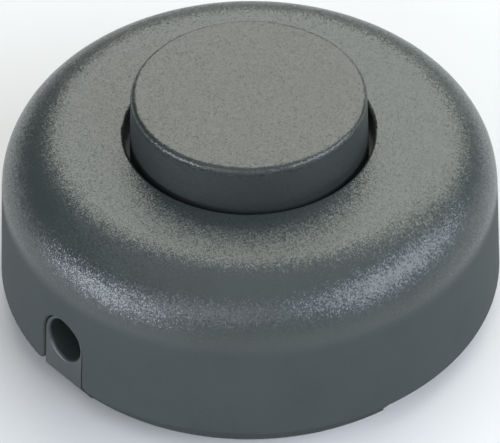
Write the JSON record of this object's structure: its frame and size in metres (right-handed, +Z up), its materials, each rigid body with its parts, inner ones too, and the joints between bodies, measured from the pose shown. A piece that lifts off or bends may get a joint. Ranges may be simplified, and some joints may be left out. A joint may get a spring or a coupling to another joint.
{
  "type": "foot switch",
  "caption": "Round low black foot switch for a lamp flex, with a drafted skirt, a rounded shoulder, a large sprung push button on top and a cord arch at each end.",
  "frame": {"origin": "centre of the base's underside, on the surface that the switch stands on", "axes": "+Z up through the push button, X along the flex from the inlet at -X to the outlet at +X"},
  "size_m": [0.0654, 0.066, 0.0312],
  "materials": {
    "housing_plastic": "black moulding compound with a fine spark-eroded grain",
    "mechanism_plastic": "natural acetal, smooth moulded",
    "spring_steel": "drawn spring wire",
    "terminal_brass": "sawn and bored brass",
    "contact_bronze": "rolled spring bronze strip",
    "contact_silver": "silver contact rivet",
    "screw_steel": "zinc plated steel"
  },
  "bodies": {
    "housing": {"cover": "housing_plastic", "base": "housing_plastic", "return_spring": "spring_steel", "mechanism_cage": "housing_plastic", "cage_screws": "screw_steel", "contact_blade_inlet": "contact_bronze", "contact_blade_outlet": "contact_bronze", "contact_rivets": "contact_silver", "line_terminal_inlet": "terminal_brass", "line_terminal_outlet": "terminal_brass", "neutral_terminal": "terminal_brass", "terminal_screws": "screw_steel", "cord_clamp_inlet": "housing_plastic", "cord_clamp_outlet": "housing_plastic", "clamp_screws": "screw_steel", "housing_screws": "screw_steel"},
    "button": {"push_button": "housing_plastic", "plunger": "mechanism_plastic"},
    "rotor": {"ratchet_rotor": "mechanism_plastic", "contact_bridge": "terminal_brass"}
  },
  "joints": [
    {"name": "button_press", "type": "slide", "parent": "housing", "child": "button", "axis": [0, 0, 1], "range_m": [-0.0045, 0], "stiffness_N_per_m": 1500, "springref_m": 0.005, "deforming": ["return_spring"]},
    {"name": "rotor_turn", "type": "hinge", "parent": "housing", "child": "rotor", "pos_m": [0, 0, 0.005], "axis": [0, 0, 1], "range_deg": [0, 60]}
  ],
  "couplings": [
    {"joint": "rotor_turn", "follows": "button_press", "rad_per_m": -232.7}
  ]
}
